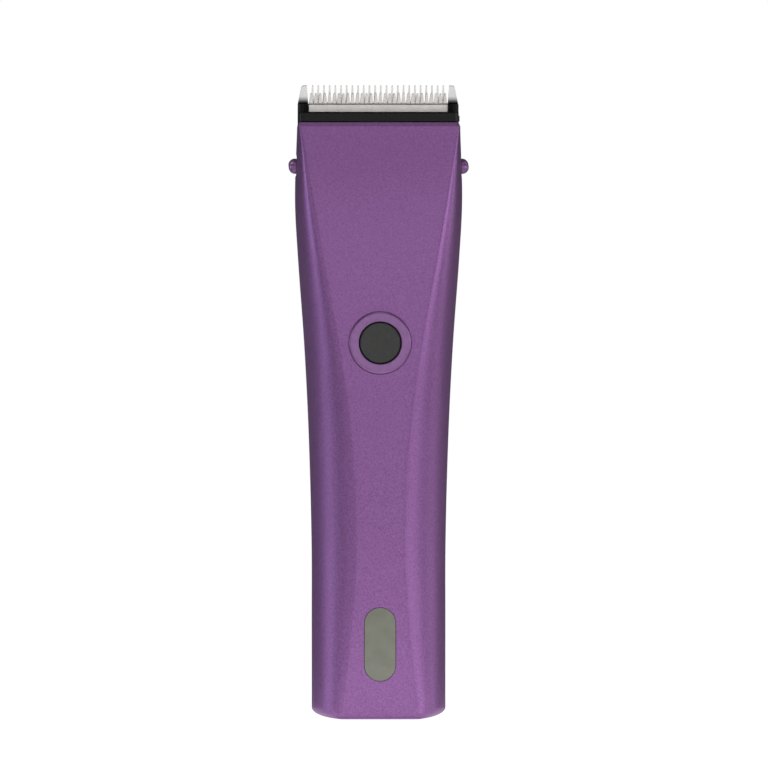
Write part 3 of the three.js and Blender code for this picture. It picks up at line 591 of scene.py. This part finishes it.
def rounded_front(half, front, radius, back):
    """A plan outline in (x, y) whose two front corners are round."""
    right = arc((half - radius, front + radius), radius, -90, 0, 12)
    left = arc((radius - half, front + radius), radius, 180, 270, 12)
    return left + right + [(half, back), (-half, back)]


def carrier_frame():
    """Black holder: side rails with posts, lower bar, hooks, rib, and the bar in front of the cutter."""
    front, back, half = -5.6, -COMB_THICKNESS - 0.3, COMB_HALF_WIDTH
    past_front, past_back, past_top = -9, 2, 20
    cutter_front = -3.7  # just in front of the cutter
    frame_outline = rounded_front(half, front, FRONT_RADIUS, back)
    rails = plan_prism("blade_carrier_frame", frame_outline, -COMB_LENGTH, POST_TOP)
    top_slope = [(-6, POST_TOP), (front, POST_TOP), (back, POST_TOP - 1.2), (back, 0), (-6, 0)]
    cut(
        rails,
        side_prism("top_slope", top_slope, -FAR, FAR),
        block(-16.9, 16.9, past_front, past_back, -25.6, past_top),
        block(-21.1, 21.1, cutter_front, past_back, -18.2, past_top),
        block(-19.6, 19.6, past_front, past_back, -11, past_top),
    )
    ledge_top, channel_floor = 170.55, 169.3
    section = [
        (FRONT_BAR_Y, FRONT_BAR_Z),
        (6, FRONT_BAR_Z),
        (6, ledge_top),
        (3.4, ledge_top),
        (3.4, channel_floor),
        (-5.6, channel_floor),
        (-6.2, 170.2),
        (FRONT_BAR_Y, 169.95),
    ]
    bar = side_prism("front_bar", section, -half, half)
    common(bar, plan_prism("bar_corners", rounded_front(half, FRONT_BAR_Y, FRONT_RADIUS, 8), 160, 175))
    cut(in_blade(bar), block(-FAR, FAR, cutter_front, 20, -FAR, past_top))
    rib = in_blade(block(-5, 5, -4.6, -3.1, 164.9, 168))
    join(rails, bar, rib, *both_sides(HOOK_X[0], HOOK_X[1], -3.1, -2.1, -31.6, -29))
    holes = [rod(1.0, -5, 2, "Y", (side * COMB_SCREW_X, COMB_SCREW_Z), 32) for side in (-1, 1)]
    cut(rails, *holes)
    return smooth(round_edges(in_casing(rails), 0.12, 3), 30)


# ---- Screws -----------------------------------------------------------------------------------


def case_screw(name, place):
    """Pan-head screw with a cross recess, seen from the back at the foot of its bore."""
    x, z = place
    seat, length = CASE_SCREW_SEAT, 11
    profile = [(0, seat - length), (0.5, seat - length), (1.1, seat - 9.6)]
    turns, pitch = 8, 1.0
    for i in range(turns):
        start = seat - 9.4 + i * pitch
        profile += [(0.85, start), (1.15, start + 0.45), (0.85, start + 0.9)]
    profile += [(0.9, seat), (2.7, seat), (2.7, seat + 0.7)]
    profile += arc((1.8, seat + 0.7), 0.9, 0, 90, 8) + [(0, seat + 1.6)]
    screw = lathe(name, profile, 48, "Y", place)
    top = seat + 1.6
    for wide, tall in ((1.5, 0.28), (0.28, 1.5)):
        cut(screw, block(x - wide, x + wide, top - 1.0, top + 1, z - tall, z + tall))
    return smooth(screw)


def comb_screw(name, side):
    """Countersunk screw with a slot, flush in the comb blade."""
    profile = [(0, -3.6), (0.7, -3.6), (0.7, -1.4), (2.0, -0.25), (2.1, -0.2), (2.05, -0.15), (0, -0.15)]
    screw = lathe(name, profile, 48, "Y", (side * COMB_SCREW_X, COMB_SCREW_Z))
    x, z = side * COMB_SCREW_X, COMB_SCREW_Z
    slot_floor, half_slot = -0.75, 0.3
    cut(screw, block(x - 3, x + 3, slot_floor, 1, z - half_slot, z + half_slot))
    return smooth(in_casing(screw))


# ---- Materials ------------------------------------------------------------------------------------


class Finish:
    """A procedural material whose textures are measured in millimetres on the piece."""

    def __init__(self, name, **values):
        self.material = bpy.data.materials.new(name)
        self.material.use_nodes = True
        self.nodes = self.material.node_tree.nodes
        self.links = self.material.node_tree.links
        self.shader = self.nodes["Principled BSDF"]
        place = self.nodes.new("ShaderNodeTexCoord")
        self.mapping = self.nodes.new("ShaderNodeMapping")
        self.mapping.inputs["Scale"].default_value = (1 / MM, 1 / MM, 1 / MM)
        self.links.new(place.outputs["Object"], self.mapping.inputs["Vector"])
        for socket, value in values.items():
            self.shader.inputs[socket.replace("_", " ")].default_value = value

    def stretched(self, x, y, z):
        """Millimetre coordinates stretched by different amounts, for a brushed grain."""
        node = self.nodes.new("ShaderNodeMapping")
        node.inputs["Scale"].default_value = (x, y, z)
        self.links.new(self.mapping.outputs["Vector"], node.inputs["Vector"])
        return node.outputs["Vector"]

    def noise(self, size, detail=3.0, vector=None):
        """Soft noise whose lumps are about size millimetres wide."""
        node = self.nodes.new("ShaderNodeTexNoise")
        node.inputs["Scale"].default_value = 1 / size
        node.inputs["Detail"].default_value = detail
        self.links.new(vector or self.mapping.outputs["Vector"], node.inputs["Vector"])
        return node.outputs["Fac"]

    def cells(self, size, output="Color"):
        """Random cells about size millimetres wide."""
        node = self.nodes.new("ShaderNodeTexVoronoi")
        node.inputs["Scale"].default_value = 1 / size
        self.links.new(self.mapping.outputs["Vector"], node.inputs["Vector"])
        return node.outputs[output]

    def bands(self, size, direction, distortion=0.0):
        node = self.nodes.new("ShaderNodeTexWave")
        node.bands_direction = direction
        node.inputs["Scale"].default_value = 1 / size
        node.inputs["Distortion"].default_value = distortion
        self.links.new(self.mapping.outputs["Vector"], node.inputs["Vector"])
        return node.outputs["Fac"]

    def spread(self, source, low, high, start=0.3, end=0.7):
        """A texture's range from start to end, as values from low to high."""
        node = self.nodes.new("ShaderNodeMapRange")
        node.inputs["From Min"].default_value = start
        node.inputs["From Max"].default_value = end
        node.inputs["To Min"].default_value = low
        node.inputs["To Max"].default_value = high
        self.links.new(source, node.inputs["Value"])
        return node.outputs["Result"]

    def sum(self, a, b, operation="ADD"):
        node = self.nodes.new("ShaderNodeMath")
        node.operation = operation
        self.links.new(a, node.inputs[0])
        if isinstance(b, float):
            node.inputs[1].default_value = b
        else:
            self.links.new(b, node.inputs[1])
        return node.outputs[0]

    def colour(self, factor, low, high):
        """Base colour from low to high as the factor goes from 0 to 1."""
        node = self.nodes.new("ShaderNodeValToRGB")
        node.color_ramp.elements[0].color = (*low, 1)
        node.color_ramp.elements[1].color = (*high, 1)
        self.links.new(factor, node.inputs["Fac"])
        self.links.new(node.outputs["Color"], self.shader.inputs["Base Color"])

    def roughness(self, factor):
        self.links.new(factor, self.shader.inputs["Roughness"])

    def bump(self, height, depth, strength=1.0):
        """Relief of a depth in millimetres."""
        node = self.nodes.new("ShaderNodeBump")
        node.inputs["Distance"].default_value = depth * MM
        node.inputs["Strength"].default_value = strength
        self.links.new(height, node.inputs["Height"])
        self.links.new(node.outputs["Normal"], self.shader.inputs["Normal"])


def srgb(red, green, blue):
    """A colour given as it is seen, 0 to 255, as linear light."""
    def linear(value):
        value /= 255
        return value / 12.92 if value <= 0.04045 else ((value + 0.055) / 1.055) ** 2.4
    return tuple(linear(value) for value in (red, green, blue))


def flake_paint():
    """Satin purple paint: fine bright and dark flakes in colour, gloss and relief."""
    f = Finish("casing_purple", Metallic=0.8, Coat_Weight=0.05, Coat_Roughness=0.35)
    flakes = f.spread(f.cells(0.22), 0, 1, 0.05, 0.95)
    cloud = f.noise(0.55, 4.0)
    mixed = f.sum(f.sum(flakes, 0.35, "MULTIPLY"), f.sum(cloud, 0.65, "MULTIPLY"))
    f.colour(f.spread(mixed, 0, 1, 0.22, 0.78), srgb(122, 78, 134), srgb(160, 112, 172))
    f.roughness(f.spread(mixed, 0.36, 0.46))
    f.bump(mixed, 0.012, 0.5)
    return f.material


def trim_paint():
    """Smooth purple paint with faint cloudiness and handling marks."""
    f = Finish("trim_purple", Metallic=0.4, Coat_Weight=0.3, Coat_Roughness=0.2)
    f.colour(f.spread(f.noise(1.6), 0, 1), srgb(136, 92, 148), srgb(148, 103, 160))
    f.roughness(f.spread(f.noise(0.9, 5.0), 0.3, 0.42))
    f.bump(f.noise(0.5), 0.003, 0.4)
    return f.material


def moulded(name, dark, light, low, high, grain, depth, **values):
    """Moulded plastic with a fine spark-eroded grain and slow changes of shade."""
    f = Finish(name, **values)
    f.colour(f.spread(f.noise(grain * 8), 0, 1), dark, light)
    f.roughness(f.spread(f.noise(grain * 3, 5.0), low, high))
    f.bump(f.noise(grain, 4.0), depth, 0.6)
    return f.material


def ground_steel(name, dark, light, low, high, along, depth, **values):
    """Steel with fine grinding lines along X or Z."""
    f = Finish(name, Metallic=1.0, **values)
    vector = f.stretched(*((0.03, 1, 1) if along == "X" else (1, 1, 0.03)))
    lines = f.noise(0.12, 3.0, vector)
    f.colour(f.spread(f.noise(2.5), 0, 1), dark, light)
    f.roughness(f.spread(lines, low, high))
    f.bump(lines, depth, 0.5)
    return f.material


def comb_chrome_painted_shade():
    """Polished steel with fine grinding lines, and painted shade: near black beside the posts at both ends,
    fading up to bright steel.
    """
    f = Finish("comb_steel", Metallic=1.0)
    lines = f.noise(0.12, 3.0, f.stretched(0.03, 1, 1))
    split = f.nodes.new("ShaderNodeSeparateXYZ")
    f.links.new(f.mapping.outputs["Vector"], split.inputs["Vector"])
    across = f.sum(split.outputs["X"], 0.0, "ABSOLUTE")
    # Painted shade: beyond 19.6 mm from the middle the comb is near black below 173 mm, fading to bright
    # steel by 174.9 mm.
    end = f.spread(across, 1, 0, 19.4, 19.6)
    above = f.spread(split.outputs["Z"], 0, 1, 173.0, 174.9)
    bright = f.sum(end, above, "MAXIMUM")
    # Near black is the painted shade beside the posts; the rest is bright steel.
    f.colour(bright, srgb(10, 10, 10), srgb(243, 241, 239))
    f.roughness(f.spread(lines, 0.2, 0.3))
    f.bump(lines, 0.001, 0.5)
    return f.material


def smoked_lens():
    """Smoked grey-olive window with faint moulding clouds."""
    f = Finish("window_grey", Coat_Weight=0.25, Coat_Roughness=0.08)
    f.colour(f.spread(f.noise(4.0), 0, 1), srgb(114, 115, 103), srgb(124, 125, 113))
    f.roughness(f.spread(f.noise(0.8), 0.28, 0.38))
    f.bump(f.noise(0.3), 0.002, 0.4)
    return f.material


def open_foam_painted_shade():
    """Dark foam with open cells, painted darkest in each cell's hollow as shade."""
    f = Finish("foam")
    holes = f.cells(0.35, "Distance")
    # Painted shade: the colour is darkest in the middle of each cell, where the relief dips.
    f.colour(f.spread(holes, 0, 1, 0.1, 0.5), srgb(22, 22, 24), srgb(66, 66, 70))
    f.roughness(f.spread(f.noise(0.5), 0.88, 0.98))
    f.bump(holes, 0.15)
    return f.material


def winding_painted_shade():
    """Enamelled copper wire, turn beside turn, with painted shade between the turns and painted highlight
    on their crowns.
    """
    f = Finish("copper", Metallic=1.0, Coat_Weight=0.5)
    turns = f.bands(1.1, "Z", 0.4)
    # Painted shade and highlight: dark copper in the grooves between turns, light copper on their crowns.
    f.colour(turns, srgb(120, 58, 28), srgb(206, 122, 70))
    f.roughness(f.spread(f.noise(0.6), 0.25, 0.4))
    f.bump(turns, 0.12)
    return f.material


def solder_mask():
    """Green board with copper tracks under the mask."""
    f = Finish("board_green", Coat_Weight=0.4, Coat_Roughness=0.15)
    tracks = f.spread(f.cells(2.4, "Distance"), 1, 0, 0.28, 0.34)
    f.colour(tracks, srgb(22, 82, 46), srgb(44, 120, 66))
    f.roughness(f.spread(f.noise(0.6), 0.38, 0.52))
    f.bump(tracks, 0.03)
    return f.material


def shrink_wrap_painted_shade():
    """Blue shrink sleeve with slight wrinkles along the cell, painted darker in their folds and lighter on
    their ridges as shade and highlight.
    """
    f = Finish("cell_wrap", Coat_Weight=0.5, Coat_Roughness=0.1)
    wrinkles = f.noise(1.5, 4.0, f.stretched(1, 1, 0.12))
    # Painted shade and highlight: darker blue in the wrinkles' folds, lighter blue on their ridges.
    f.colour(f.spread(wrinkles, 0, 1), srgb(40, 92, 148), srgb(62, 118, 176))
    f.roughness(f.spread(wrinkles, 0.22, 0.38))
    f.bump(wrinkles, 0.05)
    return f.material


def all_finishes():
    return {
        "casing_purple": flake_paint(),
        "trim_purple": trim_paint(),
        "black_gloss": moulded(
            "black_gloss", srgb(18, 18, 18), srgb(25, 25, 25), 0.24, 0.34, 0.12, 0.002,
            Specular_IOR_Level=0.2,
        ),
        "black_matte": moulded("black_matte", srgb(34, 34, 35), srgb(44, 44, 45), 0.5, 0.66, 0.2, 0.012),
        "button_black": moulded("button_black", srgb(48, 50, 48), srgb(56, 58, 55), 0.5, 0.62, 0.15, 0.006),
        "window_grey": smoked_lens(),
        "clear_plastic": moulded(
            "clear_plastic", srgb(208, 214, 208), srgb(226, 230, 226), 0.14, 0.26, 0.3, 0.002,
            Transmission_Weight=0.6,
        ),
        "comb_steel": comb_chrome_painted_shade(),
        "cutter_steel": ground_steel(
            "cutter_steel", srgb(212, 208, 205), srgb(223, 220, 217), 0.24, 0.34, "X", 0.001
        ),
        "spring_steel": ground_steel(
            "spring_steel", srgb(176, 176, 178), srgb(198, 198, 200), 0.22, 0.36, "Z", 0.002
        ),
        "zinc_steel": ground_steel(
            "zinc_steel", srgb(158, 160, 164), srgb(182, 184, 188), 0.3, 0.46, "Z", 0.003
        ),
        "magnet": moulded("magnet", srgb(62, 62, 66), srgb(80, 80, 84), 0.5, 0.7, 0.3, 0.02, Metallic=0.5),
        "copper": winding_painted_shade(),
        "brass": ground_steel("brass", srgb(190, 156, 84), srgb(214, 182, 106), 0.22, 0.36, "Z", 0.002),
        "board_green": solder_mask(),
        "cell_wrap": shrink_wrap_painted_shade(),
        "foam": open_foam_painted_shade(),
        "nylon": moulded(
            "nylon", srgb(222, 217, 203), srgb(234, 230, 218), 0.42, 0.56, 0.25, 0.008,
            Subsurface_Weight=0.08,
        ),
        "wire_red": moulded("wire_red", srgb(150, 26, 26), srgb(172, 38, 36), 0.4, 0.55, 0.2, 0.006),
        "wire_black": moulded("wire_black", srgb(26, 26, 27), srgb(38, 38, 39), 0.4, 0.55, 0.2, 0.006),
    }


# ---- Assembly ---------------------------------------------------------------------------------------

finishes = all_finishes()
slot_of = {part["node"]: part["material_slot"] for part in frame["record"]["subparts"]}


def body_of(node):
    return next(b for b, members in frame["record"]["behaviour"]["bodies"].items() if node in members)


def stand_for(piece, node):
    """A finished piece takes the node's place, body and material slot."""
    slot = slot_of[node]
    piece.data.materials.clear()
    piece.data.materials.append(finishes[slot])
    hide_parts(node)
    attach(piece, body_of(node))
    return piece


def build_skins():
    stand_for(smooth(front_skin()), "front_shell")
    stand_for(smooth(rear_skin()), "rear_shell")
    stand_for(smooth(base_skin()), "base_plate")
    stand_for(smooth(window_skin()), "charge_window")


def build_controls():
    stand_for(ring_trim(), "button_ring")
    stand_for(button_cap(), "power_button")
    for side, name in ((-1, "left"), (1, "right")):
        stand_for(knob_bar(f"adjuster_knob_bar_{name}", side), f"adjuster_knob_{name}")


def build_blades():
    stand_for(comb_plate(), "comb_blade")
    stand_for(cutter_plate(), "cutter_blade")
    stand_for(carrier_frame(), "blade_carrier")
    for side, name in ((-1, "left"), (1, "right")):
        stand_for(comb_screw(f"comb_screw_fine_{name}", side), f"comb_screw_{name}")


def build_screws():
    for number, place in enumerate(screw_places(), 1):
        stand_for(case_screw(f"case_screw_fine_{number}", place), f"case_screw_{number}")


def finish_frame_nodes():
    """The nodes that stay: rounded edges on the blocky ones, and a finish on all."""
    edge_widths = {
        "head_frame": 0.2, "chassis": 0.2, "hair_seal": 0.15, "motor_bracket": 0.15, "circuit_board": 0.1,
        "control_chip": 0.1, "charge_led_1": 0.1, "charge_led_2": 0.1, "charge_led_3": 0.1,
        "tact_switch": 0.15, "charge_inlet": 0.2, "adjuster_bail": 0.25, "cutter_slider": 0.2,
        "drive_yoke": 0.2, "blade_spring_left": 0.08, "blade_spring_right": 0.08, "detent_spring": 0.08,
        "blade_latch": 0.1, "motor_terminal_left": 0.08, "motor_terminal_right": 0.08,
        "battery_tab_bottom": 0.08, "battery_tab_top": 0.08, "light_guide": 0.15, "battery_cell": 0.4,
        "capacitor": 0.2, "motor_can": 0.3, "eccentric": 0.15, "motor_end_cap": 0.15, "armature": 0.1,
    }
    for name, node in frame["nodes"].items():
        if node.hide_render:
            continue
        node.data.materials.clear()
        node.data.materials.append(finishes[slot_of[name]])
        smooth(node)
        if name in edge_widths:
            round_edges(node, edge_widths[name])


# ---- Studio --------------------------------------------------------------------------------------------


def add_floor():
    """Plain floor as white as the backdrop; reflections see it pale ahead of the object, else grey."""
    half = 12000
    floor = plan_prism("floor", [(-half, -half), (half, -half), (half, half), (-half, half)], -20, -0.05)
    f = Finish("floor_white")
    reach = f.nodes.new("ShaderNodeVectorMath")
    reach.operation = "LENGTH"
    ahead = f.nodes.new("ShaderNodeVectorMath")
    ahead.inputs[1].default_value = (0, 90, 0)
    f.links.new(f.mapping.outputs["Vector"], ahead.inputs[0])
    f.links.new(ahead.outputs["Vector"], reach.inputs[0])
    f.colour(f.spread(f.noise(60), 0, 1), (0.32, 0.32, 0.32), (0.36, 0.36, 0.36))
    f.roughness(f.spread(f.noise(25), 0.8, 0.9))
    f.shader.inputs["Emission Color"].default_value = (1, 1, 1, 1)
    path = f.nodes.new("ShaderNodeLightPath")
    near = f.spread(reach.outputs["Value"], 1.1, 0.12, 40, 180)
    glow = f.sum(near, path.outputs["Is Camera Ray"], "MAXIMUM")
    f.links.new(glow, f.shader.inputs["Emission Strength"])
    floor.data.materials.append(f.material)


def add_world():
    """White backdrop; for reflections, grey on the front side and nearly black behind."""
    world = bpy.data.worlds.new("studio")
    bpy.context.scene.world = world
    world.use_nodes = True
    nodes, links = world.node_tree.nodes, world.node_tree.links
    nodes.clear()
    out = nodes.new("ShaderNodeOutputWorld")
    mix = nodes.new("ShaderNodeMixShader")
    path = nodes.new("ShaderNodeLightPath")
    seen = nodes.new("ShaderNodeBackground")
    seen.inputs["Color"].default_value = (1, 1, 1, 1)
    light = nodes.new("ShaderNodeBackground")
    place = nodes.new("ShaderNodeTexCoord")
    split = nodes.new("ShaderNodeSeparateXYZ")
    depth = nodes.new("ShaderNodeMapRange")
    depth.inputs["From Min"].default_value = -1
    depth.inputs["From Max"].default_value = 1
    fade = nodes.new("ShaderNodeValToRGB")
    fade.color_ramp.elements[0].position = 0.05
    fade.color_ramp.elements[0].color = (0.25, 0.25, 0.25, 1)
    fade.color_ramp.elements[1].position = 0.4
    fade.color_ramp.elements[1].color = (0.03, 0.03, 0.035, 1)
    links.new(place.outputs["Generated"], split.inputs["Vector"])
    links.new(split.outputs["Y"], depth.inputs["Value"])
    links.new(depth.outputs["Result"], fade.inputs["Fac"])
    links.new(fade.outputs["Color"], light.inputs["Color"])
    links.new(path.outputs["Is Camera Ray"], mix.inputs["Fac"])
    links.new(light.outputs["Background"], mix.inputs[1])
    links.new(seen.outputs["Background"], mix.inputs[2])
    links.new(mix.outputs["Shader"], out.inputs["Surface"])


def add_softbox(name, position, width, height, power, tint=(1, 1, 1)):
    """A soft lamp aimed at the middle of the object; position and size in metres."""
    data = bpy.data.lights.new(name, "AREA")
    data.shape = "RECTANGLE"
    data.size, data.size_y = width, height
    data.energy = power
    data.color = tint
    lamp = bpy.data.objects.new(name, data)
    lamp.location = position
    toward = Vector((0, 0, 0.09)) - Vector(position)
    lamp.rotation_euler = toward.to_track_quat("-Z", "Y").to_euler()
    lamp.visible_camera = False
    bpy.context.scene.collection.objects.link(lamp)


def add_camera():
    """Long lens, level with the object and turned a touch to its left."""
    lens, view_width, sensor_width = 800, 215.8, 36
    middle = Vector((1.5, 0, 94.0)) * MM
    distance = view_width * lens / sensor_width * MM
    turn = math.radians(-1.5)
    data = bpy.data.cameras.new("camera")
    data.lens = lens
    camera = bpy.data.objects.new("camera", data)
    camera.location = middle + distance * Vector((math.sin(turn), -math.cos(turn), 0))
    camera.rotation_euler = (middle - camera.location).to_track_quat("-Z", "Y").to_euler()
    bpy.context.scene.collection.objects.link(camera)
    bpy.context.scene.camera = camera


def add_studio():
    add_floor()
    add_world()
    add_softbox("key", (1.1, -0.6, 0.2), 0.6, 0.8, 4.0)
    add_softbox("front", (0.1, -1.3, 0.08), 1.4, 0.45, 0.8)
    add_softbox("front_high", (0.1, -1.25, 0.6), 1.0, 0.4, 1.6)
    add_softbox("low_card", (0, -0.45, 0.03), 0.7, 0.35, 0.36)
    add_softbox("side_left", (-1.15, 0.1, 0.2), 0.35, 0.8, 2.6, (0.85, 0.93, 1.0))
    add_softbox("fill_left", (-0.95, -0.75, 0.2), 0.5, 0.8, 1.3)
    add_softbox("side_right", (1.15, 0.24, 0.2), 0.4, 0.8, 1.9)
    add_softbox("top", (0, -0.3, 1.3), 0.8, 0.6, 1.6)
    add_softbox("back_left", (-0.8, 0.7, 1.2), 0.8, 0.8, 4)
    add_softbox("back_right", (0.8, 0.7, 1.2), 0.8, 0.8, 2)
    add_camera()
    bpy.context.scene.view_settings.view_transform = "Standard"


build_skins()
build_controls()
build_blades()
build_screws()
finish_frame_nodes()
add_studio()
